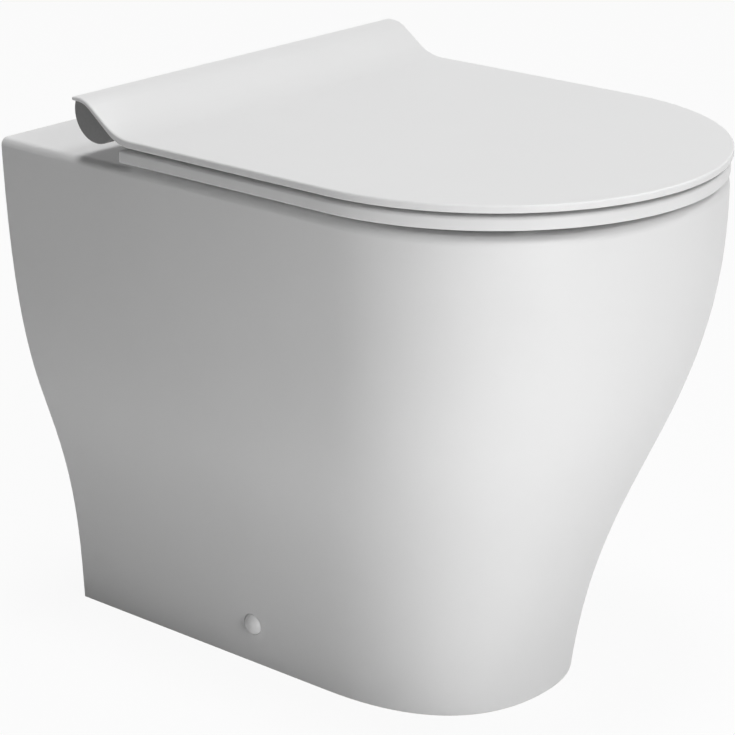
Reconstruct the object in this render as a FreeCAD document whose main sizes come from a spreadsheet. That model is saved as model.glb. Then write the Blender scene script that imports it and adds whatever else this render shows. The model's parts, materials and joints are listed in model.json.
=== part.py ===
import FreeCAD, Part
import math
import os
from types import SimpleNamespace
import Sketcher

# Back to wall toilet: china pan, hinged seat and lid, hinge hardware and side fixings.
# Frame: origin on the floor under the middle, +Z up, the front faces -Y, the wall is at +Y.

# Driving dimensions in millimetres. Distances "from_wall" run forward from the wall plane.
SIZES = {
    # Pan skirt: half widths, forward reaches, and the pull of the curves between foot and rim
    "rim_height": 420.0,
    "rim_half_width": 178.4,
    "rim_reach": 528.6,
    "rim_nose_depth": 178.4,
    "rim_squareness": 2.15,
    "foot_half_width": 106.7,
    "foot_reach": 412.0,
    "foot_nose_depth": 132.0,
    "foot_squareness": 2.37,
    "side_foot_lean": 8.6,
    "side_foot_pull": 215.0,
    "side_rim_lean": 8.9,
    "side_rim_pull": 274.0,
    "front_foot_lean": 28.3,
    "front_foot_pull": 191.0,
    "front_rim_swell": 0.5,
    "front_rim_pull": 177.3,
    "skirt_wall": 11.0,
    "deck_thickness": 15.0,
    "deck_edge_radius": 6.0,
    # Bowl
    "bowl_half_width": 132.0,
    "bowl_half_length": 166.0,
    "bowl_from_wall": 335.0,
    "sump_half_width": 36.0,
    "sump_half_length": 40.0,
    "sump_from_wall": 330.0,
    "sump_floor": 90.0,
    "bowl_wall": 10.0,
    "bowl_edge_radius": 6.0,
    # Trapway and outlet spigot
    "trap_bore": 27.0,
    "trap_wall": 7.0,
    "trap_inlet_height": 118.0,
    "trap_rise_from_wall": 249.0,
    "trap_crest_height": 228.0,
    "trap_crest_front": 209.0,
    "trap_crest_back": 155.0,
    "trap_drop_from_wall": 131.0,
    "trap_rise_bend": 50.0,
    "trap_crest_bend": 40.0,
    "trap_drop_bend": 50.0,
    "outlet_height": 180.0,
    "outlet_from_wall": 64.0,
    "spigot_radius": 51.0,
    "spigot_bore": 43.0,
    "spigot_length": 50.0,
    # Flush inlet
    "inlet_height": 340.0,
    "inlet_from_wall": 70.0,
    "inlet_bore": 27.5,
    "inlet_wall": 9.0,
    "inlet_depth": 98.0,
    "flush_slot_width": 50.0,
    "flush_slot_height": 16.0,
    "flush_pipe_radius": 22.5,
    "seal_overlap": 24.0,
    "seal_wall": 4.0,
    "seal_web": 4.0,
    "seal_shoulder": 11.0,
    "seal_neck_length": 30.0,
    "seal_neck_wall": 4.5,
    "seal_fit": 0.1,
    # Seat
    "seat_clearance": 5.5,
    "seat_thickness": 9.9,
    "seat_inset": 2.0,
    "seat_back": 139.0,
    "seat_top_radius": 2.4,
    "seat_under_radius": 1.2,
    "seat_side_width": 77.4,
    "seat_front_width": 54.4,
    "seat_rear_width": 59.0,
    "seat_opening_radius": 4.0,
    # Lid: flat plate at the front, raised wave at the back
    "lid_half_width": 185.4,
    "lid_reach": 534.4,
    "lid_back": 91.5,
    "lid_clearance": 3.3,
    "lid_thickness": 6.1,
    "lid_edge_radius": 1.5,
    "crest_rise": 25.0,
    "crest_length": 13.6,
    "crest_thickness": 3.4,
    "crest_radius": 24.0,
    "crest_under_radius": 20.0,
    "wave_run": 33.7,
    "wave_crest_lag": 1.8,
    "wave_plate_lag": 0.3,
    "plate_radius": 43.0,
    "plate_under_radius": 37.0,
    # Rubber buffers
    "seat_buffer_radius": 9.0,
    "lid_buffer_radius": 6.0,
    "buffer_stem_radius": 2.5,
    "buffer_stem_length": 3.5,
    "buffer_gap": 0.3,
    "stem_fit": 0.05,
    "buffer_front_side": 105.0,
    "buffer_front_set_back": 68.4,
    "buffer_back_set_in": 38.4,
    "buffer_back_from_wall": 250.0,
    "lid_buffer_front_side": 130.0,
    "lid_buffer_front_set_back": 94.4,
    # Hinge line and its pieces
    "axis_from_lip": 15.0,
    "axis_below_crest": 19.8,
    "barrel_from_lip": 23.1,
    "barrel_below_crest": 10.5,
    "barrel_radius": 23.4,
    "barrel_inset": 2.5,
    "barrel_edge_radius": 0.8,
    "post_side": 77.5,
    "post_width": 24.0,
    "hinge_gap": 2.0,
    "eye_radius": 10.0,
    "post_thickness": 9.0,
    "post_seat_gap": 1.0,
    "post_lid_gap": 1.8,
    "post_foot_back": 5.5,
    "post_foot_height": 5.0,
    "post_flange_radius": 15.0,
    "post_flange_thickness": 3.5,
    "tongue_margin": 3.5,
    "tongue_overlap": 12.0,
    "tongue_skin": 1.0,
    "pin_radius": 4.0,
    "running_fit": 0.06,
    "fixed_fit": 0.03,
    "pin_grip": 20.0,
    "bush_radius": 6.5,
    "washer_radius": 8.5,
    "washer_thickness": 1.5,
    "damper_radius": 7.0,
    "damper_length": 50.0,
    "damper_shaft_depth": 18.0,
    "pin_split": 0.4,
    "barrel_screw_radius": 1.6,
    "barrel_screw_head": 3.2,
    "barrel_screw_head_height": 2.0,
    "barrel_screw_grip": 3.0,
    "barrel_screw_from_lip": 37.5,
    "barrel_screw_inner": 16.5,
    "barrel_screw_outer": 16.9,
    # Deck fixings of the hinge
    "deck_hole_radius": 7.0,
    "gasket_thickness": 1.0,
    "stud_radius": 4.0,
    "stud_length": 62.0,
    "stud_fit": 0.05,
    "cone_radius": 13.0,
    "cone_height": 5.0,
    "cone_neck_height": 9.0,
    "cone_fit": 0.2,
    "nut_radius": 8.0,
    "nut_height": 11.0,
    "wing_span": 44.0,
    "wing_thickness": 4.0,
    "wing_height": 16.0,
    # Side fixings of the foot
    "fixing_from_wall": 200.0,
    "fixing_height": 34.5,
    "fixing_recess": 3.0,
    "fixing_hole_radius": 6.2,
    "fixing_fit": 0.2,
    "cap_radius": 8.9,
    "cap_gap": 0.3,
    "cap_height": 7.4,
    "cap_dome_radius": 11.0,
    "cap_edge_radius": 0.6,
    "cap_skin": 0.9,
    "side_bush_radius": 6.0,
    "side_bush_flange_radius": 7.6,
    "side_bush_flange_thickness": 1.2,
    "side_screw_radius": 3.0,
    "side_screw_length": 32.0,
    "side_screw_head_radius": 5.5,
    "side_screw_head_height": 2.2,
    "bracket_thickness": 4.0,
    "bracket_depth": 44.0,
    "bracket_height": 58.0,
    "bracket_length": 46.0,
    "bracket_gap": 0.4,
    "bracket_bend_radius": 3.0,
    "floor_hole_radius": 4.25,
    "floor_hole_side": 68.0,
    "bracket_nut_radius": 5.6,
    "bracket_nut_height": 5.0,
}

# Heights at which the skirt and the bowl are drawn before they are blended
SKIRT_LEVELS = 9
BOWL_LEVELS = 8
# Share of a straight run of the trapway that the bends at its ends may use up
BEND_SHARE = 0.99

doc = FreeCAD.newDocument("back_to_wall_toilet")
sheet = doc.addObject("Spreadsheet::Sheet", "Sizes")


class Size:
    """A length with its formula in the sheet and its value in millimetres."""

    def __init__(self, text, value):
        self.text = text
        self.value = value

    def __add__(self, other):
        other = as_size(other)
        return Size(f"({self.text} + {other.text})", self.value + other.value)

    def __radd__(self, other):
        return as_size(other) + self

    def __sub__(self, other):
        other = as_size(other)
        return Size(f"({self.text} - {other.text})", self.value - other.value)

    def __rsub__(self, other):
        return as_size(other) - self

    def __mul__(self, factor):
        factor = as_size(factor)
        return Size(f"({self.text} * {factor.text})", self.value * factor.value)

    def __rmul__(self, factor):
        return self * factor

    def __neg__(self):
        return self * -1

    def __float__(self):
        return self.value


def as_size(number):
    if isinstance(number, Size):
        return number
    return Size(f"({number})", float(number))


# Formulas for the bound features, and plain numbers for the shapes that are worked out point by point
size = SimpleNamespace()
mm = SimpleNamespace()


def add_cells(values):
    """Write named numbers to the sheet and read them back."""
    start = len(vars(size)) + 1
    for row, (alias, value) in enumerate(values.items(), start):
        sheet.set(f"A{row}", alias)
        sheet.set(f"B{row}", str(value))
        sheet.setAlias(f"B{row}", alias)
    doc.recompute()
    for alias in values:
        number = float(sheet.get(alias))
        setattr(mm, alias, number)
        setattr(size, alias, Size(f"Sizes.{alias}", number))


add_cells(SIZES)


def bezier(start, first, second, end, step):
    """Value of a cubic curve from start to end with two pulling values."""
    rest = 1 - step
    return rest**3 * start + 3 * rest**2 * step * first + 3 * rest * step**2 * second + step**3 * end


def bezier_step(first, second, end, value):
    """Step at which a rising cubic curve from zero reaches a value, found by halving."""
    low, high = 0.0, 1.0
    for _ in range(50):
        middle = (low + high) / 2
        if bezier(0, first, second, end, middle) < value:
            low = middle
        else:
            high = middle
    return (low + high) / 2


def skirt_half_width(height):
    rim = mm.rim_height
    foot_pull = mm.side_foot_pull
    rim_pull = rim - mm.side_rim_pull
    step = bezier_step(foot_pull, rim_pull, rim, height)
    foot_width = mm.foot_half_width
    rim_width = mm.rim_half_width
    foot_lean = foot_width + mm.side_foot_lean
    rim_lean = rim_width - mm.side_rim_lean
    return bezier(foot_width, foot_lean, rim_lean, rim_width, step)


def skirt_reach(height):
    rim = mm.rim_height
    foot_pull = mm.front_foot_pull
    rim_pull = rim - mm.front_rim_pull
    step = bezier_step(foot_pull, rim_pull, rim, height)
    foot_reach = mm.foot_reach
    rim_reach = mm.rim_reach
    foot_lean = foot_reach + mm.front_foot_lean
    rim_swell = rim_reach + mm.front_rim_swell
    return bezier(foot_reach, foot_lean, rim_swell, rim_reach, step)


# Outer face of the foot beside the fixing, which follows from the skirt's curve
add_cells({"fixing_face": round(skirt_half_width(mm.fixing_height), 3)})

# Heights and places that follow from the driving dimensions
wall_y = size.lid_reach * 0.5
seat_under = size.rim_height + size.seat_clearance
seat_top = seat_under + size.seat_thickness
lid_under = seat_top + size.lid_clearance
lid_top = lid_under + size.lid_thickness
crest_top = lid_top + size.crest_rise
crest_under = crest_top - size.crest_thickness
axis_z = crest_top - size.axis_below_crest
axis_from_wall = size.lid_back + size.axis_from_lip
axis_y = wall_y - axis_from_wall
post_inner = size.post_side - size.post_width * 0.5
post_outer = size.post_side + size.post_width * 0.5
seat_barrel_end = post_inner - size.hinge_gap
lid_barrel_start = post_outer + size.hinge_gap
lid_barrel_end = size.lid_half_width - size.barrel_inset
post_front = size.seat_back - size.post_seat_gap
post_back = post_front - size.post_thickness
post_foot_back = post_back - size.post_foot_back
stud_from_wall = (post_front + post_foot_back) * 0.5
stud_y = wall_y - stud_from_wall
deck_under = size.rim_height - size.deck_thickness
flange_under = size.rim_height + size.gasket_thickness
flange_top = flange_under + size.post_flange_thickness
fixing_y = wall_y - size.fixing_from_wall
fixing_seat = size.fixing_face - size.fixing_recess
bracket_face = size.foot_half_width - size.skirt_wall - size.bracket_gap

TURNS = {
    "z": FreeCAD.Rotation(),
    "x": FreeCAD.Rotation(FreeCAD.Vector(0, 1, 0), 90),
    "y": FreeCAD.Rotation(FreeCAD.Vector(1, 0, 0), -90),
}


def bind(feature, **lengths):
    """Set properties of a feature, each bound to its formula in the sheet."""
    for name, length in lengths.items():
        feature.setExpression(name, as_size(length).text)


def place(feature, x=0, y=0, z=0):
    for axis, length in (("x", x), ("y", y), ("z", z)):
        feature.setExpression(f"Placement.Base.{axis}", as_size(length).text)


def cylinder(name, radius, length, axis="z", x=0, y=0, z=0):
    """Round bar that starts at a point and runs along an axis."""
    bar = doc.addObject("Part::Cylinder", name)
    bar.Placement = FreeCAD.Placement(FreeCAD.Vector(), TURNS[axis])
    bind(bar, Radius=radius, Height=length)
    place(bar, x, y, z)
    return bar


def cone(name, low_radius, high_radius, length, axis="z", x=0, y=0, z=0):
    taper = doc.addObject("Part::Cone", name)
    taper.Placement = FreeCAD.Placement(FreeCAD.Vector(), TURNS[axis])
    bind(taper, Radius1=low_radius, Radius2=high_radius, Height=length)
    place(taper, x, y, z)
    return taper


def block(name, length, width, height, x=0, y=0, z=0):
    """Box centred on x and y that starts at height z."""
    box = doc.addObject("Part::Box", name)
    bind(box, Length=length, Width=width, Height=height)
    place(box, x - as_size(length) * 0.5, y - as_size(width) * 0.5, z)
    return box


def group(name, solids):
    pieces = doc.addObject("Part::Compound", name)
    pieces.Links = solids
    return pieces


def fuse(name, solids):
    joined = doc.addObject("Part::MultiFuse", name)
    joined.Shapes = solids
    joined.Refine = True
    return joined


def cut(name, base, tools):
    cut_solid = doc.addObject("Part::Cut", name)
    cut_solid.Base = base
    cut_solid.Tool = tools[0] if len(tools) == 1 else group(name + "_tools", tools)
    return cut_solid


def common(name, first, second):
    shared = doc.addObject("Part::Common", name)
    shared.Base = first
    shared.Tool = second
    return shared


def mirror(name, solid):
    """The same piece on the other side of the middle plane."""
    twin = doc.addObject("Part::Mirroring", name)
    twin.Source = solid
    twin.Normal = FreeCAD.Vector(1, 0, 0)
    return twin


def pair(name, solid):
    return group(name, [solid, mirror(name + "_twin", solid)])


def origin_plane(body, role):
    return next(feature for feature in body.Origin.OriginFeatures if feature.Role == role)


def new_body(name):
    return doc.addObject("PartDesign::Body", name)


def new_sketch(body, name, role):
    sketch = body.newObject("Sketcher::SketchObject", name)
    sketch.AttachmentSupport = [(origin_plane(body, role), "")]
    sketch.MapMode = "FlatFace"
    return sketch


def dimension(sketch, kind, length, *where):
    """Add a dimension to a sketch and bind it to its formula."""
    length = as_size(length)
    index = sketch.addConstraint(Sketcher.Constraint(kind, *where, length.value))
    sketch.setExpression(f"Constraints[{index}]", length.text)


def fix_point(sketch, line, end, across, along):
    dimension(sketch, "DistanceX", across, -1, 1, line, end)
    dimension(sketch, "DistanceY", along, -1, 1, line, end)


def draw_polygon(sketch, corners):
    """Closed outline of straight lines, each corner held by two dimensions."""
    points = [FreeCAD.Vector(float(across), float(along), 0) for across, along in corners]
    count = len(points)
    lines = [
        sketch.addGeometry(Part.LineSegment(points[i], points[(i + 1) % count]), False)
        for i in range(count)
    ]
    for i, line in enumerate(lines):
        sketch.addConstraint(Sketcher.Constraint("Coincident", line, 2, lines[(i + 1) % count], 1))
    for line, corner in zip(lines, corners):
        fix_point(sketch, line, 1, *corner)


def draw_tongue(sketch, half_width, back, front):
    """Outline with a straight back, straight sides and a half-round front."""
    across = as_size(half_width).value
    nose = as_size(front + half_width).value
    back_y = as_size(back).value
    corners = [
        FreeCAD.Vector(across, nose, 0),
        FreeCAD.Vector(across, back_y, 0),
        FreeCAD.Vector(-across, back_y, 0),
        FreeCAD.Vector(-across, nose, 0),
    ]
    lines = [sketch.addGeometry(Part.LineSegment(a, b), False) for a, b in zip(corners, corners[1:])]
    whole = Part.Circle(FreeCAD.Vector(0, nose, 0), FreeCAD.Vector(0, 0, 1), across)
    arc = sketch.addGeometry(Part.ArcOfCircle(whole, math.pi, 2 * math.pi), False)
    for first, second in zip(lines, lines[1:]):
        sketch.addConstraint(Sketcher.Constraint("Coincident", first, 2, second, 1))
    sketch.addConstraint(Sketcher.Constraint("Tangent", lines[2], 2, arc, 1))
    sketch.addConstraint(Sketcher.Constraint("Tangent", lines[0], 1, arc, 2))
    sketch.addConstraint(Sketcher.Constraint("Vertical", lines[0]))
    sketch.addConstraint(Sketcher.Constraint("Horizontal", lines[1]))
    sketch.addConstraint(Sketcher.Constraint("PointOnObject", arc, 3, -2))
    dimension(sketch, "Radius", half_width, arc)
    dimension(sketch, "DistanceY", back, -1, 1, lines[1], 1)
    dimension(sketch, "DistanceY", front + half_width, -1, 1, arc, 3)


def pad(body, sketch, length, both_ways=False):
    feature = body.newObject("PartDesign::Pad", sketch.Name + "_pad")
    feature.Profile = sketch
    if both_ways:
        feature.SideType = "Symmetric"
    bind(feature, Length=length)
    return feature


def round_edges(body, base, radius, chosen):
    """Round the edges of a body's feature that pass a test."""
    doc.recompute()
    names = [f"Edge{i}" for i, edge in enumerate(base.Shape.Edges, 1) if chosen(edge)]
    feature = body.newObject("PartDesign::Fillet", f"{base.Name}_round")
    feature.Base = (base, names)
    bind(feature, Radius=radius)
    return feature


def round_solid(name, solid, radius, chosen):
    """Round the edges of a solid that pass a test."""
    doc.recompute()
    feature = doc.addObject("Part::Fillet", name)
    feature.Base = solid
    radius = as_size(radius).value
    feature.Edges = [(i, radius, radius) for i, edge in enumerate(solid.Shape.Edges, 1) if chosen(edge)]
    return feature


def lies_at_height(edge, height):
    box = edge.BoundBox
    return abs(box.ZMin - height) < 1e-4 and abs(box.ZMax - height) < 1e-4


def runs_through(edge, y, z):
    """True for an edge along X that passes a place in the side view."""
    box = edge.BoundBox
    flat = box.YLength < 1e-4 and box.ZLength < 1e-4
    return flat and math.hypot(box.YMin - y, box.ZMin - z) < 1e-3


# China pan


def nose_curve(half_width, straight_end, reach, squareness, height):
    """Front of a level of the skirt: a rounded nose between two straight sides, seen from above."""
    wall = wall_y.value
    depth = reach - straight_end
    pull = (8 * 2 ** (-1 / squareness) - 4) / 3
    plan = [(-1, 0), (-1, pull), (-pull, 1), (pull, 1), (1, pull), (1, 0)]
    poles = [
        FreeCAD.Vector(across * half_width, wall - straight_end - forward * depth, height)
        for across, forward in plan
    ]
    curve = Part.BSplineCurve()
    curve.buildFromPolesMultsKnots(poles, [4, 2, 4], [0, 1, 2], False, 3)
    return curve.toShape()


def skirt_level(height, inset, back, shown_height):
    """Closed outline of the skirt at a height, drawn in from the outer face by an inset."""
    share = height / mm.rim_height
    half_width = skirt_half_width(height) - inset
    reach = skirt_reach(height) - inset
    nose = mm.foot_nose_depth + share * (mm.rim_nose_depth - mm.foot_nose_depth) - inset
    squareness = mm.foot_squareness + share * (mm.rim_squareness - mm.foot_squareness)
    front = nose_curve(half_width, reach - nose, reach, squareness, shown_height)
    left, right = front.Vertexes[0].Point, front.Vertexes[-1].Point
    back_left = FreeCAD.Vector(left.x, back, shown_height)
    back_right = FreeCAD.Vector(right.x, back, shown_height)
    sides = [Part.makeLine(back_left, left), front, Part.makeLine(right, back_right)]
    return Part.Wire(sides + [Part.makeLine(back_right, back_left)])


def skirt_solid(inset, back, low, high):
    levels = []
    for i in range(SKIRT_LEVELS):
        height = high * i / (SKIRT_LEVELS - 1)
        shown_height = low if i == 0 else height
        levels.append(skirt_level(height, inset, back, shown_height))
    return Part.makeLoft(levels, True)


def bowl_solid(thicken, floor, top):
    """Bowl, drawn from oval levels that widen smoothly from the sump to the rim."""
    levels = []
    sump_floor = mm.sump_floor
    for i in range(BOWL_LEVELS):
        share = i / (BOWL_LEVELS - 1)
        widen = share**2 * (3 - 2 * share)
        across = mm.sump_half_width + widen * (mm.bowl_half_width - mm.sump_half_width)
        along = mm.sump_half_length + widen * (mm.bowl_half_length - mm.sump_half_length)
        middle = mm.sump_from_wall + widen * (mm.bowl_from_wall - mm.sump_from_wall)
        height = sump_floor + share * (mm.rim_height - sump_floor)
        height = floor if i == 0 else height
        height = top if i == BOWL_LEVELS - 1 else height
        centre = FreeCAD.Vector(0, wall_y.value - middle, height)
        far_end = centre + FreeCAD.Vector(0, along + thicken, 0)
        side = centre + FreeCAD.Vector(across + thicken, 0, 0)
        levels.append(Part.Wire(Part.Ellipse(far_end, side, centre).toShape()))
    return Part.makeLoft(levels, True)


def bent_path(points, radii):
    """Straight runs joined by arcs that touch both runs, each arc limited by the runs beside it."""
    corners = list(zip(points, points[1:], points[2:]))
    halves = [(before - corner).getAngle(after - corner) / 2 for before, corner, after in corners]
    reaches = [radius / math.tan(half) for radius, half in zip(radii, halves)]
    asked = [0] + reaches + [0]
    room = [
        min(1, BEND_SHARE * (end - start).Length / (asked[i] + asked[i + 1]))
        for i, (start, end) in enumerate(zip(points, points[1:]))
    ]
    edges = []
    start = points[0]
    for i, (before, corner, after) in enumerate(corners):
        reach = reaches[i] * min(room[i], room[i + 1])
        back = (before - corner).normalize()
        ahead = (after - corner).normalize()
        radius = reach * math.tan(halves[i])
        middle = (back + ahead).normalize()
        crown = corner + middle * (radius / math.sin(halves[i]) - radius)
        arc_start = corner + back * reach
        arc_end = corner + ahead * reach
        edges.append(Part.makeLine(start, arc_start))
        edges.append(Part.Arc(arc_start, crown, arc_end).toShape())
        start = arc_end
    edges.append(Part.makeLine(start, points[-1]))
    return Part.Wire(edges)


def trap_tube(radius):
    """Round tube along the trapway, from the sump over the weir and down to the outlet."""
    route = [
        (mm.sump_from_wall, mm.trap_inlet_height),
        (mm.trap_rise_from_wall, mm.trap_inlet_height),
        (mm.trap_crest_front, mm.trap_crest_height),
        (mm.trap_crest_back, mm.trap_crest_height),
        (mm.trap_drop_from_wall, mm.outlet_height),
        (mm.outlet_from_wall + mm.trap_wall, mm.outlet_height),
    ]
    points = [FreeCAD.Vector(0, wall_y.value - from_wall, height) for from_wall, height in route]
    bends = [mm.trap_rise_bend, mm.trap_crest_bend, mm.trap_crest_bend, mm.trap_drop_bend]
    ring = Part.makeCircle(radius, points[0], FreeCAD.Vector(0, 1, 0))
    return bent_path(points, bends).makePipeShell([Part.Wire(ring)], True, False)


def tube(radius, from_wall, length, height):
    """Round bar that runs forward from a distance off the wall."""
    start = FreeCAD.Vector(0, wall_y.value - from_wall, height)
    return Part.makeCylinder(radius, length, start, FreeCAD.Vector(0, -1, 0))


def pan_casting():
    """China body in one piece, before its fixing holes are drilled."""
    wall = wall_y.value
    rim = mm.rim_height
    open_back = wall + mm.skirt_wall
    open_floor = -mm.skirt_wall
    outside = skirt_solid(0, open_back, 0, rim)
    top_edges = [
        edge for edge in outside.Edges
        if lies_at_height(edge, rim) and edge.BoundBox.YMin < wall
    ]
    outside = outside.makeFillet(mm.deck_edge_radius, top_edges)
    wall_corner = FreeCAD.Vector(-mm.rim_reach, wall, open_floor)
    outside = outside.cut(Part.makeBox(2 * mm.rim_reach, mm.rim_reach, 2 * rim, wall_corner))
    hollow = skirt_solid(mm.skirt_wall, open_back, open_floor, rim - mm.deck_thickness)
    shell = outside.cut(hollow)

    bowl_wall = mm.bowl_wall
    basin = bowl_solid(bowl_wall, mm.sump_floor - bowl_wall, rim)
    trap = trap_tube(mm.trap_bore + mm.trap_wall)
    spigot = tube(mm.spigot_radius, mm.outlet_from_wall, mm.spigot_length, mm.outlet_height)
    inlet_radius = mm.inlet_bore + mm.inlet_wall
    inlet_reach = mm.bowl_from_wall - mm.bowl_half_length - mm.inlet_from_wall
    inlet = tube(inlet_radius, mm.inlet_from_wall, inlet_reach + 3 * bowl_wall, mm.inlet_height)
    body = shell.fuse([basin, trap, spigot, inlet])

    cavity = bowl_solid(0, mm.sump_floor, rim)
    waterway = trap_tube(mm.trap_bore)
    spigot_depth = mm.spigot_length - mm.trap_wall
    spigot_way = tube(mm.spigot_bore, 0, mm.outlet_from_wall + spigot_depth, mm.outlet_height)
    inlet_way = tube(mm.inlet_bore, 0, mm.inlet_from_wall + mm.inlet_depth, mm.inlet_height)
    slot_start = wall - mm.inlet_from_wall - mm.inlet_depth + bowl_wall
    slot_floor = mm.inlet_height - mm.flush_slot_height / 2
    slot_corner = FreeCAD.Vector(-mm.flush_slot_width / 2, slot_start, slot_floor)
    slot_reach = 6 * bowl_wall
    slot = Part.makeBox(mm.flush_slot_width, slot_reach, mm.flush_slot_height, slot_corner)
    slot.translate(FreeCAD.Vector(0, -slot_reach, 0))
    body = body.cut([cavity, waterway, spigot_way, inlet_way, slot])
    rim_edges = [
        edge for edge in body.Edges
        if lies_at_height(edge, rim) and edge.BoundBox.XLength > mm.bowl_half_width
        and edge.BoundBox.XLength < 2.1 * mm.bowl_half_width and edge.BoundBox.YMax < wall - mm.seat_back
        and edge.BoundBox.YMin > wall - mm.rim_reach + mm.skirt_wall
    ]
    return body.makeFillet(mm.bowl_edge_radius, rim_edges)


def make_pan():
    casting = doc.addObject("Part::Feature", "pan_casting")
    casting.Shape = pan_casting()
    drills = []
    for side in (-1, 1):
        drills.append(cylinder(
            "deck_drill", size.deck_hole_radius, size.deck_thickness * 2,
            x=size.post_side * side, y=stud_y, z=deck_under - size.deck_thickness * 0.5,
        ))
    for inner in (fixing_seat - size.skirt_wall * 2, -fixing_seat):
        drills.append(cylinder(
            "side_drill", size.fixing_hole_radius, size.skirt_wall * 2, "x",
            x=inner, y=fixing_y, z=size.fixing_height,
        ))
    for outer in (fixing_seat, -fixing_seat - size.skirt_wall):
        drills.append(cylinder(
            "cap_recess", size.cap_radius + size.cap_gap, size.skirt_wall, "x",
            x=outer, y=fixing_y, z=size.fixing_height,
        ))
    return cut("pan", casting, drills)


def inlet_bar(name, radius, start, end):
    """Round bar on the line of the flush inlet, between two distances from the wall."""
    return cylinder(name, radius, start - end, "y", y=wall_y - start, z=size.inlet_height)


def make_inlet_seal():
    """Rubber cone over the end of the flush inlet, with a neck that grips the flush pipe."""
    mouth = size.inlet_from_wall
    horn = size.inlet_bore + size.inlet_wall
    sleeve_radius = horn + size.seal_wall
    neck_radius = size.flush_pipe_radius + size.seal_neck_wall
    neck_start = mouth - size.seal_web
    neck_end = neck_start - size.seal_neck_length
    sleeve = inlet_bar("seal_sleeve", sleeve_radius, mouth + size.seal_overlap, neck_start)
    shoulder = cone(
        "seal_shoulder", sleeve_radius, neck_radius, size.seal_shoulder, "y",
        y=wall_y - neck_start, z=size.inlet_height,
    )
    neck = inlet_bar("seal_neck", neck_radius, neck_start, neck_end)
    hollows = [
        inlet_bar("seal_socket", horn + size.seal_fit, mouth + size.seal_overlap, mouth),
        inlet_bar("seal_web_hole", size.inlet_bore, mouth, neck_start),
        inlet_bar("seal_bore", size.flush_pipe_radius, neck_start, neck_end),
    ]
    return cut("inlet_seal", fuse("seal_body", [sleeve, shoulder, neck]), hollows)


# Seat


def side_view(from_wall, height):
    """Corner of a side outline, from its distance off the wall and its height."""
    return (wall_y - from_wall, height)


def tongue_prism(name, half_width, back, front, thickness, height):
    body = new_body(name)
    sketch = new_sketch(body, name + "_outline", "XY_Plane")
    draw_tongue(sketch, half_width, wall_y - back, wall_y - front)
    solid = pad(body, sketch, thickness)
    place(body, z=height)
    return body, solid


def make_seat_ring():
    half_width = size.lid_half_width - size.seat_inset
    reach = size.lid_reach - size.seat_inset
    blank, plate = tongue_prism(
        "seat_blank", half_width, size.seat_back, reach, size.seat_thickness, seat_under,
    )
    thickness = size.seat_thickness.value
    upper = round_edges(blank, plate, size.seat_top_radius, lambda edge: lies_at_height(edge, thickness))
    round_edges(blank, upper, size.seat_under_radius, lambda edge: lies_at_height(edge, 0))

    arm_body = new_body("seat_arm")
    arm_sketch = new_sketch(arm_body, "seat_arm_outline", "YZ_Plane")
    eye = size.eye_radius
    rear = size.seat_back
    draw_polygon(arm_sketch, [
        side_view(axis_from_wall + eye * 0.7, axis_z + eye * 0.5),
        side_view(rear + size.tongue_skin, seat_top - size.tongue_skin * 0.5),
        side_view(rear + size.tongue_overlap, seat_top - size.tongue_skin),
        side_view(rear + size.tongue_overlap, seat_under + size.tongue_skin),
        side_view(rear, seat_under + size.tongue_skin),
        side_view(axis_from_wall + eye * 0.5, axis_z - eye * 0.85),
    ])
    pad(arm_body, arm_sketch, (seat_barrel_end - size.tongue_margin) * 2, both_ways=True)
    barrel = cylinder("seat_barrel", eye, seat_barrel_end * 2, "x", x=-seat_barrel_end, y=axis_y, z=axis_z)
    joined = fuse("seat_joined", [blank, arm_body, barrel])

    opening_back = rear + size.seat_rear_width
    opening_front = reach - size.seat_front_width
    opening_length = (opening_front - opening_back) * 0.5
    opening_width = half_width - size.seat_side_width
    ellipse = doc.addObject("Part::Ellipse", "seat_opening_outline")
    ellipse.Placement = FreeCAD.Placement(FreeCAD.Vector(), FreeCAD.Rotation(FreeCAD.Vector(0, 0, 1), 90))
    bind(ellipse, MajorRadius=opening_length, MinorRadius=opening_width)
    place(ellipse, y=wall_y - opening_back - opening_length, z=seat_under - size.seat_thickness)
    opening = doc.addObject("Part::Extrusion", "seat_opening")
    opening.Base = ellipse
    opening.DirMode = "Custom"
    opening.Dir = FreeCAD.Vector(0, 0, 1)
    opening.Solid = True
    bind(opening, LengthFwd=size.seat_thickness * 3)
    tools = [opening]
    damper_start = seat_barrel_end - size.damper_length - size.hinge_gap
    tools.append(cylinder(
        "seat_damper_bore", size.damper_radius + size.fixed_fit, seat_barrel_end - damper_start, "x",
        x=damper_start, y=axis_y, z=axis_z,
    ))
    tools.append(cylinder(
        "seat_bush_bore", size.bush_radius + size.fixed_fit, size.pin_grip, "x",
        x=-seat_barrel_end, y=axis_y, z=axis_z,
    ))
    tools += buffer_stems("seat_stem_hole", seat_buffer_places(), seat_under, size.stem_fit)
    ring = cut("seat_open", joined, tools)
    width = opening_width.value * 2
    levels = (seat_under.value, seat_top.value)
    opened = round_solid("seat_ring", ring, size.seat_opening_radius, lambda edge: (
        any(lies_at_height(edge, level) for level in levels)
        and abs(edge.BoundBox.XLength - width) < 0.1
    ))
    return opened


def seat_buffer_places():
    return [
        (size.buffer_front_side, wall_y - size.lid_reach + size.buffer_front_set_back),
        (size.lid_half_width - size.buffer_back_set_in, wall_y - size.buffer_back_from_wall),
    ]


def lid_buffer_places():
    return [
        (size.lid_buffer_front_side, wall_y - size.lid_reach + size.lid_buffer_front_set_back),
        (size.lid_half_width - size.buffer_back_set_in, wall_y - size.buffer_back_from_wall),
    ]


def both_sides(places):
    """Each place, and the same place on the other side of the middle."""
    return [(x * side, y) for x, y in places for side in (-1, 1)]


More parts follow.
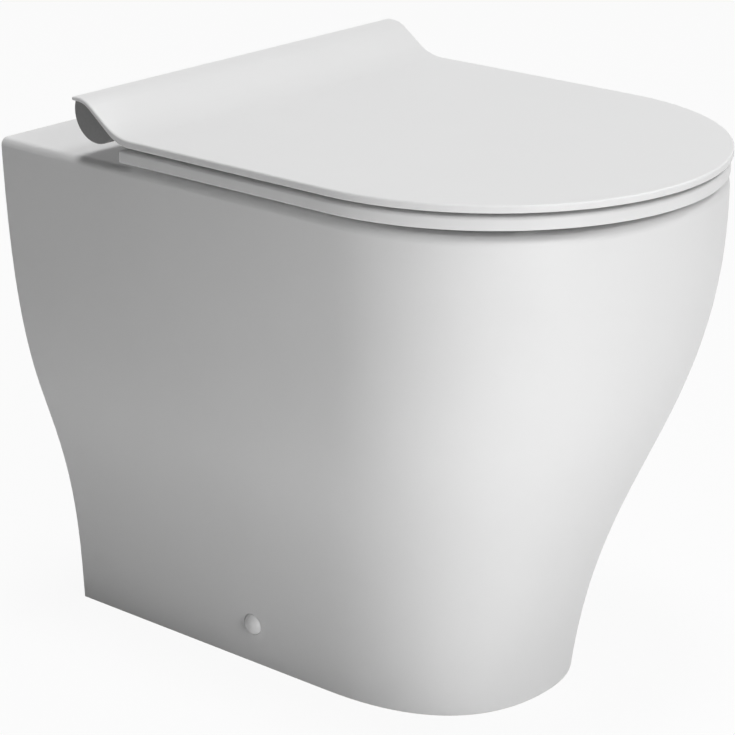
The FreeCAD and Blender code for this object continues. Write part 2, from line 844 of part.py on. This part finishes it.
def buffer_stems(name, places, height, fit):
    """Stems that stand up from a height, with room round them for a hole."""
    radius = size.buffer_stem_radius + fit
    length = size.buffer_stem_length + fit
    return [cylinder(name, radius, length, x=x, y=y, z=height) for x, y in both_sides(places)]


def make_buffers(name, places, height, thickness, radius):
    """Rubber pads under a height, each held in its hole by a stem."""
    stems = buffer_stems(name + "_stem", places, height, 0)
    pieces = []
    for stem, (x, y) in zip(stems, both_sides(places)):
        foot = cylinder(name + "_pad", radius, thickness, x=x, y=y, z=height - thickness)
        pieces.append(fuse(name + "_piece", [foot, stem]))
    return group(name, pieces)


# Lid


def wave_corners():
    """Corners of the lid's side outline before its bends are rounded, from the lip's top onwards."""
    crest_corner = size.lid_back + size.crest_length
    plate_corner = crest_corner + size.wave_run
    front = size.lid_reach + size.lid_thickness
    top = [(size.lid_back, crest_top), (crest_corner, crest_top), (plate_corner, lid_top), (front, lid_top)]
    under = [
        (front, lid_under),
        (plate_corner - size.wave_plate_lag, lid_under),
        (crest_corner - size.wave_crest_lag, crest_under),
        (size.lid_back, crest_under),
    ]
    return top + under


def make_lid_panel():
    body = new_body("lid_wave")
    sketch = new_sketch(body, "lid_wave_outline", "YZ_Plane")
    corners = [side_view(from_wall, height) for from_wall, height in wave_corners()]
    draw_polygon(sketch, corners)
    sheet_pad = pad(body, sketch, size.lid_half_width * 2.2, both_ways=True)
    bends = [
        (1, size.crest_radius),
        (2, size.plate_radius),
        (5, size.plate_under_radius),
        (6, size.crest_under_radius),
    ]
    feature = sheet_pad
    for corner, radius in bends:
        y, z = (float(length) for length in corners[corner])
        feature = round_edges(body, feature, radius, lambda edge: runs_through(edge, y, z))
    outline, prism = tongue_prism(
        "lid_outline", size.lid_half_width, size.lid_back, size.lid_reach, crest_top - seat_top, seat_top,
    )
    panel = common("lid_trimmed", body, outline)
    holes = buffer_stems("lid_stem_hole", lid_buffer_places(), lid_under, size.stem_fit)
    holes += barrel_screw_bars("lid_screw_hole", size.barrel_screw_radius, size.fixed_fit)
    rounded = round_solid("lid_rounded", panel, size.lid_edge_radius, is_lid_rim)
    return cut("lid_panel", rounded, holes)


def is_lid_rim(edge):
    """True for the edges round the lid, above and below, but not for its bends or upright corners."""
    box = edge.BoundBox
    side = size.lid_half_width.value
    along_side = box.XLength < 1e-3 and abs(abs(box.XMin) - side) < 1e-3 and box.YLength > 1
    flat_ends = (lid_under.value, lid_top.value)
    round_front = box.XLength > side and any(lies_at_height(edge, level) for level in flat_ends)
    lip_y = wall_y.value - size.lid_back.value
    at_lip = box.XLength > side and abs(box.YMin - lip_y) < 1e-3
    return along_side or (round_front and box.YLength > 1) or at_lip


def barrel_screw_sides():
    """Distances from the middle to the two screws of a barrel, each set in from one end of it."""
    return (lid_barrel_start + size.barrel_screw_inner, lid_barrel_end - size.barrel_screw_outer)


def barrel_screw_bars(name, radius, fit):
    """Upright bars at the four screws that hold the hinge barrels to the lid."""
    screw_y = wall_y - size.lid_back - size.barrel_screw_from_lip
    start = lid_under - size.lid_thickness
    length = size.lid_thickness * 2 + size.barrel_screw_grip
    bars = []
    for x in barrel_screw_sides():
        for side in (-1, 1):
            bars.append(cylinder(name, radius + fit, length, x=x * side, y=screw_y, z=start))
    return bars


def make_lid_barrel(lid_panel):
    """Right-hand hinge housing under the wave, half round from the side."""
    length = lid_barrel_end - lid_barrel_start
    barrel_y = wall_y - size.lid_back - size.barrel_from_lip
    barrel_z = crest_top - size.barrel_below_crest
    bar = cylinder(
        "barrel_bar", size.barrel_radius, length, "x",
        x=lid_barrel_start, y=barrel_y, z=barrel_z,
    )
    ends = (lid_barrel_start.value, lid_barrel_end.value)
    bar = round_solid("barrel_round", bar, size.barrel_edge_radius, lambda edge: (
        edge.BoundBox.XLength < 1e-4 and min(abs(edge.BoundBox.XMin - end) for end in ends) < 1e-3
    ))
    body = new_body("barrel_space")
    sketch = new_sketch(body, "barrel_space_outline", "YZ_Plane")
    wave = wave_corners()
    lower = [(wave[i][0], wave[i][1] + size.crest_thickness * 0.7) for i in (7, 6, 5)]
    floor = size.rim_height + size.seat_clearance
    front = size.lid_back + size.barrel_from_lip + size.barrel_radius * 2
    draw_polygon(sketch, [
        side_view(0, lower[0][1]),
        side_view(*lower[1]),
        side_view(*lower[2]),
        side_view(front, lower[2][1]),
        side_view(front, floor),
        side_view(0, floor),
    ])
    pad(body, sketch, size.lid_half_width * 2.2, both_ways=True)
    half_round = common("barrel_half", bar, body)
    return cut("barrel_fitted", half_round, [lid_panel])


def make_lid_barrels(lid_panel):
    right_blank = make_lid_barrel(lid_panel)
    left_blank = mirror("barrel_fitted_left", right_blank)
    bush_bore = cylinder(
        "lid_bush_bore", size.bush_radius + size.fixed_fit, size.pin_grip, "x",
        x=lid_barrel_start, y=axis_y, z=axis_z,
    )
    damper_bore = cylinder(
        "lid_damper_bore", size.damper_radius + size.fixed_fit, size.damper_length + size.hinge_gap, "x",
        x=-lid_barrel_start - size.damper_length - size.hinge_gap, y=axis_y, z=axis_z,
    )
    screw_y = wall_y - size.lid_back - size.barrel_screw_from_lip
    head_top = barrel_screw_seat() + size.barrel_screw_head_height
    barrels = []
    for name, blank, bore, side in (
        ("lid_barrel_left", left_blank, damper_bore, -1),
        ("lid_barrel_right", right_blank, bush_bore, 1),
    ):
        tools = [bore]
        for x in barrel_screw_sides():
            tools.append(cylinder(
                name + "_screw_way", size.barrel_screw_radius + size.fixed_fit, size.barrel_radius,
                x=x * side, y=screw_y, z=seat_top,
            ))
            tools.append(cylinder(
                name + "_head_way", size.barrel_screw_head + size.fixed_fit, head_top - seat_top,
                x=x * side, y=screw_y, z=seat_top,
            ))
        barrels.append(cut(name, blank, tools))
    return barrels


def barrel_screw_seat():
    """Height of the underside of the barrel screws' heads."""
    return lid_under + size.crest_thickness * 0.5


def make_barrel_screws():
    screw_y = wall_y - size.lid_back - size.barrel_screw_from_lip
    seat = barrel_screw_seat()
    top = lid_under + size.lid_thickness + size.barrel_screw_grip
    screws = []
    for x in barrel_screw_sides():
        head = cylinder(
            "barrel_screw_top", size.barrel_screw_head, size.barrel_screw_head_height,
            x=x, y=screw_y, z=seat,
        )
        shank = cylinder("barrel_screw_shank", size.barrel_screw_radius, top - seat, x=x, y=screw_y, z=seat)
        screw = fuse("barrel_screw", [head, shank])
        screws += [screw, mirror("barrel_screw_left", screw)]
    return group("barrel_screws", screws)


# Hinge


def make_hinge_post():
    """Right-hand cranked post: a foot on the deck, an arm that leans back, and an eye on the hinge line."""
    body = new_body("post_arm")
    sketch = new_sketch(body, "post_outline", "YZ_Plane")
    eye = size.eye_radius
    foot_top = flange_top + size.post_foot_height
    draw_polygon(sketch, [
        side_view(axis_from_wall + eye * 0.7, axis_z + eye * 0.6),
        side_view(post_front, lid_under - size.post_lid_gap),
        side_view(post_front, flange_under),
        side_view(post_foot_back, flange_under),
        side_view(post_foot_back, foot_top),
        side_view(post_back, axis_z - eye * 1.4),
        side_view(post_back - eye * 0.3, axis_z - eye * 1.05),
        side_view(axis_from_wall + eye * 0.5, axis_z - eye * 0.85),
    ])
    pad(body, sketch, size.post_width, both_ways=True)
    place(body, x=size.post_side)
    ring = cylinder("post_eye", eye, size.post_width, "x", x=post_inner, y=axis_y, z=axis_z)
    flange = cylinder(
        "post_flange", size.post_flange_radius, size.post_flange_thickness,
        x=size.post_side, y=stud_y, z=flange_under,
    )
    pin_hole = cylinder(
        "post_pin_hole", size.pin_radius + size.fixed_fit, size.post_width, "x",
        x=post_inner, y=axis_y, z=axis_z,
    )
    stud_hole = cylinder(
        "post_stud_hole", size.stud_radius + size.stud_fit, foot_top - flange_under,
        x=size.post_side, y=stud_y, z=flange_under,
    )
    return cut("hinge_post_right", fuse("post_joined", [body, ring, flange]), [pin_hole, stud_hole])


def make_deck_fixings():
    """Gasket on the deck, stud through it, and the rubber cone and wing nut below."""
    x, y = size.post_side, stud_y
    top = flange_top + size.post_foot_height
    stud = cylinder("hinge_stud", size.stud_radius, size.stud_length, x=x, y=y, z=top - size.stud_length)
    gasket_disc = cylinder(
        "gasket_disc", size.post_flange_radius, size.gasket_thickness, x=x, y=y, z=size.rim_height,
    )
    clear_hole = cylinder(
        "stud_clear_hole", size.stud_radius + size.stud_fit, size.stud_length,
        x=x, y=y, z=top - size.stud_length,
    )
    gasket = cut("deck_gasket", gasket_disc, [clear_hole])
    cone_disc = cylinder(
        "cone_disc", size.cone_radius, size.cone_height, x=x, y=y, z=deck_under - size.cone_height,
    )
    neck_radius = size.deck_hole_radius - size.cone_fit
    neck = cone("cone_neck", neck_radius, neck_radius - 1, size.cone_neck_height, x=x, y=y, z=deck_under)
    cone_washer = cut("cone_washer", fuse("cone_body", [cone_disc, neck]), [clear_hole])
    nut_top = deck_under - size.cone_height
    hub = cylinder("nut_hub", size.nut_radius, size.nut_height, x=x, y=y, z=nut_top - size.nut_height)
    wings = block(
        "nut_wings", size.wing_span, size.wing_thickness, size.wing_height,
        x=x, y=y, z=nut_top - size.nut_height * 0.4 - size.wing_height,
    )
    wing_nut = cut("wing_nut", fuse("nut_body", [hub, wings]), [clear_hole])
    return [
        pair("deck_gaskets", gasket),
        pair("hinge_studs", stud),
        pair("cone_washers", cone_washer),
        pair("wing_nuts", wing_nut),
    ]


def hinge_bar(name, radius, start, end):
    return cylinder(name, radius, end - start, "x", x=start, y=axis_y, z=axis_z)


def hinge_ring(name, radius, hole, start, end):
    bore = hinge_bar(name + "_bore", hole, start, end)
    return cut(name, hinge_bar(name + "_disc", radius, start, end), [bore])


def make_hinge_pieces():
    """Pins, shafts, dampers, bushes and washers on the hinge line."""
    grip = size.pin_grip
    split = size.pin_split * 0.5
    middle = size.post_side
    pin = size.pin_radius
    running = pin + size.running_fit
    seat_pin = hinge_bar("seat_pin", pin, -middle + split, -seat_barrel_end + grip)
    lid_pin = hinge_bar("lid_pin", pin, middle + split, lid_barrel_start + grip)
    seat_bush = hinge_ring("seat_bush", size.bush_radius, running, -seat_barrel_end, -seat_barrel_end + grip)
    lid_bush = hinge_ring("lid_bush", size.bush_radius, running, lid_barrel_start, lid_barrel_start + grip)

    depth = size.damper_shaft_depth
    seat_end = seat_barrel_end - size.hinge_gap * 0.5
    lid_end = -lid_barrel_start - size.hinge_gap * 0.5
    seat_damper = cut(
        "seat_damper",
        hinge_bar("seat_damper_case", size.damper_radius, seat_end - size.damper_length, seat_end),
        [hinge_bar("seat_damper_socket", running, seat_end - depth - split, seat_end)],
    )
    lid_damper = cut(
        "lid_damper",
        hinge_bar("lid_damper_case", size.damper_radius, lid_end - size.damper_length, lid_end),
        [hinge_bar("lid_damper_socket", running, lid_end - depth - split, lid_end)],
    )
    seat_shaft = hinge_bar("seat_damper_shaft", pin, seat_end - depth, middle - split)
    lid_shaft = hinge_bar("lid_damper_shaft", pin, lid_end - depth, -middle - split)

    gap_side = (size.hinge_gap - size.washer_thickness) * 0.5
    washers = []
    for start in (seat_barrel_end + gap_side, post_outer + gap_side):
        washer = hinge_ring("washer", size.washer_radius, running, start, start + size.washer_thickness)
        washers += [washer, mirror("washer_left", washer)]
    return [
        seat_pin, lid_pin, seat_bush, lid_bush, seat_damper, lid_damper, seat_shaft, lid_shaft,
        group("thrust_washers", washers),
    ]


# Side fixings of the foot


def make_floor_bracket():
    """Right-hand angle bracket on the floor inside the foot."""
    body = new_body("bracket_angle")
    sketch = new_sketch(body, "bracket_outline", "XZ_Plane")
    inner = bracket_face - size.bracket_thickness
    start = bracket_face - size.bracket_length
    draw_polygon(sketch, [
        (start, 0),
        (bracket_face, 0),
        (bracket_face, size.bracket_height),
        (inner, size.bracket_height),
        (inner, size.bracket_thickness),
        (start, size.bracket_thickness),
    ])
    angle = pad(body, sketch, size.bracket_depth, both_ways=True)
    bend_x, bend_z = inner.value, size.bracket_thickness.value
    round_edges(body, angle, size.bracket_bend_radius, lambda edge: (
        edge.BoundBox.XLength < 1e-4 and edge.BoundBox.ZLength < 1e-4
        and math.hypot(edge.BoundBox.XMin - bend_x, edge.BoundBox.ZMin - bend_z) < 1e-3
    ))
    place(body, y=fixing_y)
    screw_hole = cylinder(
        "bracket_screw_hole", size.side_screw_radius + size.fixing_fit, size.bracket_thickness * 2, "x",
        x=inner - size.bracket_thickness * 0.5, y=fixing_y, z=size.fixing_height,
    )
    floor_hole = cylinder(
        "bracket_floor_hole", size.floor_hole_radius, size.bracket_thickness * 2,
        x=size.floor_hole_side, y=fixing_y, z=-size.bracket_thickness * 0.5,
    )
    return cut("floor_bracket_right", body, [screw_hole, floor_hole])


def fixing_bar(name, radius, start, end):
    return cylinder(name, radius, end - start, "x", x=start, y=fixing_y, z=size.fixing_height)


def make_side_cap():
    """Domed cap over the screw head, hollow behind."""
    face = fixing_seat + size.cap_height
    dome = cap_dome("cap_dome", size.cap_dome_radius, face)
    blank = common("cap_blank", fixing_bar("cap_bar", size.cap_radius, fixing_seat, face), dome)
    base = fixing_seat.value
    shell = round_solid("cap_shell", blank, size.cap_edge_radius, lambda edge: (
        edge.BoundBox.XLength < 1e-4 and edge.BoundBox.XMin > base + 1e-3
    ))
    inner_face = face - size.cap_skin
    inner_dome = cap_dome("cap_inner_dome", size.cap_dome_radius - size.cap_skin, inner_face)
    inner_bar = fixing_bar("cap_inner_bar", size.cap_radius - size.cap_skin, fixing_seat, inner_face)
    return cut("side_cap", shell, [common("cap_hollow", inner_bar, inner_dome)])


def cap_dome(name, radius, face):
    """Ball on the fixing's line that just reaches a face."""
    ball = doc.addObject("Part::Sphere", name)
    bind(ball, Radius=radius)
    place(ball, x=face - radius, y=fixing_y, z=size.fixing_height)
    return ball


def make_side_fixings():
    """Bush, screw, nut and cap that hold the foot to its floor brackets."""
    flange_face = fixing_seat + size.side_bush_flange_thickness
    head_face = flange_face + size.side_screw_head_height
    bush_end = bracket_face + size.fixing_fit
    bush_body = fuse("side_bush_body", [
        fixing_bar("side_bush_sleeve", size.side_bush_radius, bush_end, flange_face),
        fixing_bar("side_bush_flange", size.side_bush_flange_radius, fixing_seat, flange_face),
    ])
    way = fixing_bar("side_bush_way", size.side_screw_radius + size.fixing_fit, bush_end, flange_face)
    bush = cut("side_bush", bush_body, [way])
    screw_end = flange_face - size.side_screw_length
    screw = fuse("side_screw", [
        fixing_bar("side_screw_shank", size.side_screw_radius, screw_end, flange_face),
        fixing_bar("side_screw_head", size.side_screw_head_radius, flange_face, head_face),
    ])
    inner = bracket_face - size.bracket_thickness
    nut_bar = doc.addObject("Part::Prism", "bracket_nut_bar")
    nut_bar.Polygon = 6
    nut_bar.Placement = FreeCAD.Placement(FreeCAD.Vector(), TURNS["x"])
    bind(nut_bar, Circumradius=size.bracket_nut_radius, Height=size.bracket_nut_height)
    place(nut_bar, x=inner - size.bracket_nut_height, y=fixing_y, z=size.fixing_height)
    thread = fixing_bar(
        "bracket_nut_thread", size.side_screw_radius + size.stud_fit, inner - size.bracket_nut_height, inner,
    )
    nut = cut("bracket_nut", nut_bar, [thread])
    return [
        pair("side_bushes", bush),
        pair("side_screws", screw),
        pair("bracket_nuts", nut),
        pair("side_caps", make_side_cap()),
    ]


def make_parts():
    lid_panel = make_lid_panel()
    post = make_hinge_post()
    bracket = make_floor_bracket()
    seat_pads = make_buffers(
        "seat_buffers", seat_buffer_places(), seat_under,
        size.seat_clearance - size.buffer_gap, size.seat_buffer_radius,
    )
    lid_pads = make_buffers(
        "lid_buffers", lid_buffer_places(), lid_under,
        size.lid_clearance - size.buffer_gap, size.lid_buffer_radius,
    )
    parts = [make_pan(), make_inlet_seal(), make_seat_ring(), seat_pads, lid_panel, lid_pads]
    parts += make_lid_barrels(lid_panel)
    parts += [make_barrel_screws(), post, mirror("hinge_post_left", post)]
    parts += make_deck_fixings()
    parts += make_hinge_pieces()
    parts += [bracket, mirror("floor_bracket_left", bracket)]
    parts += make_side_fixings()
    return parts


def check_parts(parts):
    doc.recompute()
    for feature in doc.Objects:
        if "Invalid" in feature.State or "Error" in feature.State:
            raise RuntimeError(f"{feature.Name} failed: {feature.State}")
    for part in parts:
        if part.Shape.isNull() or not part.Shape.isValid() or not part.Shape.Solids:
            raise RuntimeError(f"{part.Label} has no valid solid")


def write_parts(parts):
    os.makedirs("parts", exist_ok=True)
    for part in parts:
        part.Shape.exportStep(os.path.join("parts", part.Label + ".step"))
        print(f"{part.Label}: {len(part.Shape.Solids)} solids, {part.Shape.Volume / 1000:.2f} cm3")


all_parts = make_parts()
check_parts(all_parts)
write_parts(all_parts)
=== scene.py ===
import json

import bpy
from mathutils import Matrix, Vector

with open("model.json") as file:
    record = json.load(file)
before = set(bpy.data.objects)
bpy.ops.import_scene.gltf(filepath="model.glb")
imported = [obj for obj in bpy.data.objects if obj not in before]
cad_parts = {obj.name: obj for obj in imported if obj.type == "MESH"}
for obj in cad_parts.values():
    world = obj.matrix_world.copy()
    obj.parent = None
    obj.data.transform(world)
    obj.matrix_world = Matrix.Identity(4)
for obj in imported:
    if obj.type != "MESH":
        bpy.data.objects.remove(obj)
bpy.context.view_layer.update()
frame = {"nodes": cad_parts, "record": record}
scene = bpy.context.scene
scene.view_settings.view_transform = "Standard"


# Materials

# Noise values that reach the two ends of a surface's range
NOISE_LOW = 0.3
NOISE_HIGH = 0.7
# How much finer a surface's relief is than its drift of colour and gloss
RELIEF_FINENESS = 4

# The china is bare at the face to the wall and on the underside, in metres
BARE_FROM_Y = 0.267
BARE_BELOW_Z = 0.0002
CLAY_GRAIN = 900
CLAY_DARK = (0.56, 0.53, 0.47)
CLAY_LIGHT = (0.66, 0.63, 0.57)
CLAY_ROUGH = (0.75, 0.9)

# Sockets of a mix node by its type: first value, second value and result
MIX_SOCKETS = {"RGBA": (6, 7, 2), "FLOAT": (2, 3, 0)}


def grey(level):
    return (level, level, level)


def add_math(tree, operation, first, second):
    """Result of a math node on a socket and a second socket or plain number."""
    node = tree.nodes.new("ShaderNodeMath")
    node.operation = operation
    tree.links.new(first, node.inputs[0])
    if isinstance(second, bpy.types.NodeSocket):
        tree.links.new(second, node.inputs[1])
    else:
        node.inputs[1].default_value = second
    return node.outputs[0]


def add_noise(tree, scale, detail=3.0):
    """Noise in object space."""
    place = tree.nodes.new("ShaderNodeTexCoord")
    noise = tree.nodes.new("ShaderNodeTexNoise")
    noise.inputs["Scale"].default_value = scale
    noise.inputs["Detail"].default_value = detail
    tree.links.new(place.outputs["Object"], noise.inputs["Vector"])
    return noise.outputs["Fac"]


def vary(tree, factor, low, high, target):
    """Drive a number socket between two values by a factor."""
    spread = tree.nodes.new("ShaderNodeMapRange")
    spread.inputs["From Min"].default_value = NOISE_LOW
    spread.inputs["From Max"].default_value = NOISE_HIGH
    spread.inputs["To Min"].default_value = low
    spread.inputs["To Max"].default_value = high
    tree.links.new(factor, spread.inputs["Value"])
    tree.links.new(spread.outputs["Result"], target)


def tint(tree, factor, first, second, target):
    """Drive a colour socket between two colours by a factor."""
    ramp = tree.nodes.new("ShaderNodeValToRGB")
    ends = ramp.color_ramp.elements
    ends[0].position = NOISE_LOW
    ends[0].color = (*first, 1)
    ends[1].position = NOISE_HIGH
    ends[1].color = (*second, 1)
    tree.links.new(factor, ramp.inputs["Fac"])
    tree.links.new(ramp.outputs["Color"], target)


def emboss(tree, shader, factor, strength, distance):
    """Fine relief from a factor."""
    bump = tree.nodes.new("ShaderNodeBump")
    bump.inputs["Strength"].default_value = strength
    bump.inputs["Distance"].default_value = distance
    tree.links.new(factor, bump.inputs["Height"])
    tree.links.new(bump.outputs["Normal"], shader.inputs["Normal"])


def make_surface(
    name, low, high, rough, metallic=0.0, specular=0.5, scale=60.0, bump=(0.1, 0.0002),
):
    """Material with a slight drift of colour and gloss and a fine relief."""
    material = bpy.data.materials.new(name)
    material.use_nodes = True
    tree = material.node_tree
    shader = tree.nodes["Principled BSDF"]
    shader.inputs["Metallic"].default_value = metallic
    shader.inputs["Specular IOR Level"].default_value = specular
    drift = add_noise(tree, scale)
    tint(tree, drift, low, high, shader.inputs["Base Color"])
    vary(tree, drift, *rough, shader.inputs["Roughness"])
    emboss(tree, shader, add_noise(tree, scale * RELIEF_FINENESS), *bump)
    return material


def mix_over(tree, kind, factor, target):
    """Put a mix node before a linked socket, and return its free second value."""
    first, second, result = MIX_SOCKETS[kind]
    mix = tree.nodes.new("ShaderNodeMix")
    mix.data_type = kind
    tree.links.new(target.links[0].from_socket, mix.inputs[first])
    tree.links.new(factor, mix.inputs[0])
    tree.links.new(mix.outputs[result], target)
    return mix.inputs[second]


def add_bare_clay(material):
    """Rough unglazed clay on the faces that rest on the wall and the floor."""
    tree = material.node_tree
    shader = tree.nodes["Principled BSDF"]
    place = tree.nodes.new("ShaderNodeTexCoord")
    axes = tree.nodes.new("ShaderNodeSeparateXYZ")
    tree.links.new(place.outputs["Object"], axes.inputs["Vector"])
    at_wall = add_math(tree, "GREATER_THAN", axes.outputs["Y"], BARE_FROM_Y)
    at_floor = add_math(tree, "LESS_THAN", axes.outputs["Z"], BARE_BELOW_Z)
    bare = add_math(tree, "MAXIMUM", at_wall, at_floor)
    clay_colour = mix_over(tree, "RGBA", bare, shader.inputs["Base Color"])
    clay_gloss = mix_over(tree, "FLOAT", bare, shader.inputs["Roughness"])
    grain = add_noise(tree, CLAY_GRAIN, detail=4.0)
    tint(tree, grain, CLAY_DARK, CLAY_LIGHT, clay_colour)
    vary(tree, grain, *CLAY_ROUGH, clay_gloss)


surfaces = {
    "china": make_surface(
        "glazed_china", grey(0.795), grey(0.815), (0.34, 0.38),
        specular=0.2, scale=7, bump=(0.15, 0.00003),
    ),
    "seat_plastic": make_surface(
        "seat_resin", grey(0.80), grey(0.81), (0.36, 0.39),
        specular=0.2, scale=12, bump=(0.1, 0.00001),
    ),
    # Painted shade: the hinge plastic is set much darker than the part's own paler colour,
    # standing in for the shade on the hinge barrel's end under the lid
    "hinge_plastic": make_surface(
        "hinge_plastic", grey(0.19), grey(0.21), (0.38, 0.44),
        scale=400, bump=(0.15, 0.00005),
    ),
    "cap_plastic": make_surface(
        "cap_plastic", grey(0.79), grey(0.81), (0.26, 0.3), bump=(0.1, 0.00002),
    ),
    "fixing_plastic": make_surface(
        "nylon", (0.66, 0.66, 0.63), (0.72, 0.72, 0.69), (0.4, 0.5), scale=120,
    ),
    "damper_plastic": make_surface(
        "damper_plastic", (0.05, 0.05, 0.055), (0.07, 0.07, 0.075), (0.4, 0.5),
    ),
    "pale_rubber": make_surface(
        "pale_rubber", (0.6, 0.6, 0.59), (0.66, 0.66, 0.65), (0.45, 0.6), scale=200,
    ),
    "black_rubber": make_surface("black_rubber", grey(0.012), grey(0.02), (0.5, 0.65)),
    "chromed_metal": make_surface(
        "chrome", (0.6, 0.6, 0.61), (0.66, 0.66, 0.67), (0.08, 0.14),
        metallic=1.0, bump=(0.02, 0.0001),
    ),
    "steel": make_surface(
        "zinc_plate", grey(0.42), (0.52, 0.52, 0.5), (0.3, 0.45), metallic=1.0, scale=90,
    ),
}
add_bare_clay(surfaces["china"])

slot_of = {part["node"]: part["material_slot"] for part in frame["record"]["subparts"]}
for node, piece in frame["nodes"].items():
    for slot in piece.material_slots:
        slot.material = surfaces[slot_of[node]]


# Camera

CAMERA_PLACE = (-1.58819, -1.34095, 0.97406)
CAMERA_DIRECTION = (0.71214569, 0.61840172, -0.33230684)
CAMERA_LENS = 135.17
CAMERA_SENSOR = 36
CAMERA_REACH = 100


def turn_to(thing, direction):
    """Turn a camera or lamp to look along a direction."""
    thing.rotation_mode = "QUATERNION"
    thing.rotation_quaternion = Vector(direction).to_track_quat("-Z", "Y")


camera = bpy.data.objects.new("camera", bpy.data.cameras.new("camera"))
scene.collection.objects.link(camera)
camera.data.sensor_width = CAMERA_SENSOR
camera.data.lens = CAMERA_LENS
camera.data.clip_end = CAMERA_REACH
camera.location = CAMERA_PLACE
turn_to(camera, CAMERA_DIRECTION)
scene.camera = camera


# Floor and surroundings

WHITE = (1, 1, 1, 1)
FLOOR_HALF = 30
# Just below the foot, so that the two faces don't coincide
FLOOR_HEIGHT = -0.0005
FLOOR_TONE = 0.68
# Share of plain white in the floor as the camera sees it, the rest shows the shadow
FLOOR_WHITE = 0.93
AMBIENT = 0.005
BACKDROP = 1.0


def add_plane(name, half, height):
    """Square face on the level of a height."""
    mesh = bpy.data.meshes.new(name)
    corners = [(-half, -half), (half, -half), (half, half), (-half, half)]
    mesh.from_pydata([(x, y, height) for x, y in corners], [], [(0, 1, 2, 3)])
    plane = bpy.data.objects.new(name, mesh)
    scene.collection.objects.link(plane)
    return plane


def seen_directly(tree):
    """1 for rays from the camera, a reflection or a clear material, else 0."""
    path = tree.nodes.new("ShaderNodeLightPath")
    camera_or_glossy = add_math(
        tree, "MAXIMUM", path.outputs["Is Camera Ray"], path.outputs["Is Glossy Ray"],
    )
    return add_math(tree, "MAXIMUM", camera_or_glossy, path.outputs["Is Transmission Ray"])


def mix_shaders(tree, factor, first, second, output_kind):
    """Mix two shaders by a factor and give the mix to the output."""
    mixer = tree.nodes.new("ShaderNodeMixShader")
    output = tree.nodes.new(output_kind)
    tree.links.new(factor, mixer.inputs["Fac"])
    tree.links.new(first.outputs[0], mixer.inputs[1])
    tree.links.new(second.outputs[0], mixer.inputs[2])
    tree.links.new(mixer.outputs[0], output.inputs["Surface"])


floor = add_plane("floor", FLOOR_HALF, FLOOR_HEIGHT)
floor_material = bpy.data.materials.new("pale_floor")
floor_material.use_nodes = True
tree = floor_material.node_tree
tree.nodes.clear()
matt = tree.nodes.new("ShaderNodeBsdfDiffuse")
matt.inputs["Color"].default_value = (*grey(FLOOR_TONE), 1)
glow = tree.nodes.new("ShaderNodeEmission")
glow.inputs["Color"].default_value = WHITE
glow.inputs["Strength"].default_value = BACKDROP
share = add_math(tree, "MULTIPLY", seen_directly(tree), FLOOR_WHITE)
mix_shaders(tree, share, matt, glow, "ShaderNodeOutputMaterial")
floor.data.materials.append(floor_material)

world = bpy.data.worlds.new("studio")
scene.world = world
world.use_nodes = True
tree = world.node_tree
tree.nodes.clear()
ambient = tree.nodes.new("ShaderNodeBackground")
ambient.inputs["Color"].default_value = WHITE
ambient.inputs["Strength"].default_value = AMBIENT
backdrop = tree.nodes.new("ShaderNodeBackground")
backdrop.inputs["Color"].default_value = WHITE
backdrop.inputs["Strength"].default_value = BACKDROP
mix_shaders(tree, seen_directly(tree), ambient, backdrop, "ShaderNodeOutputWorld")


# Lamps: name, place, the point it faces, width, height and watts

MIDDLE = (0, 0, 0.28)
LAMPS = (
    ("top", (-0.44, -0.44, 6.25), MIDDLE, 1.2, 1.2, 190),
    ("right", (4.01, -1.95, 4.29), MIDDLE, 1.3, 1.3, 85),
    ("front", (-0.54, -2.54, 1.78), MIDDLE, 1.0, 1.0, 17),
    ("low_front", (-0.51, -1.25, 0.35), (0, 0, 0.25), 0.5, 0.6, 4.9),
    ("low_left", (-0.57, -0.47, 0.2), (-0.1, -0.1, 0.2), 0.36, 0.4, 0.52),
    ("back", (0.70, 2.63, 1.55), MIDDLE, 1.0, 1.0, 8),
)


def add_lamp(name, place, aim, width, height, watts):
    """Soft rectangular lamp that faces a point."""
    data = bpy.data.lights.new(name, "AREA")
    data.shape = "RECTANGLE"
    data.size = width
    data.size_y = height
    data.energy = watts
    lamp = bpy.data.objects.new(name, data)
    scene.collection.objects.link(lamp)
    lamp.location = place
    turn_to(lamp, Vector(aim) - Vector(place))


for lamp in LAMPS:
    add_lamp(*lamp)
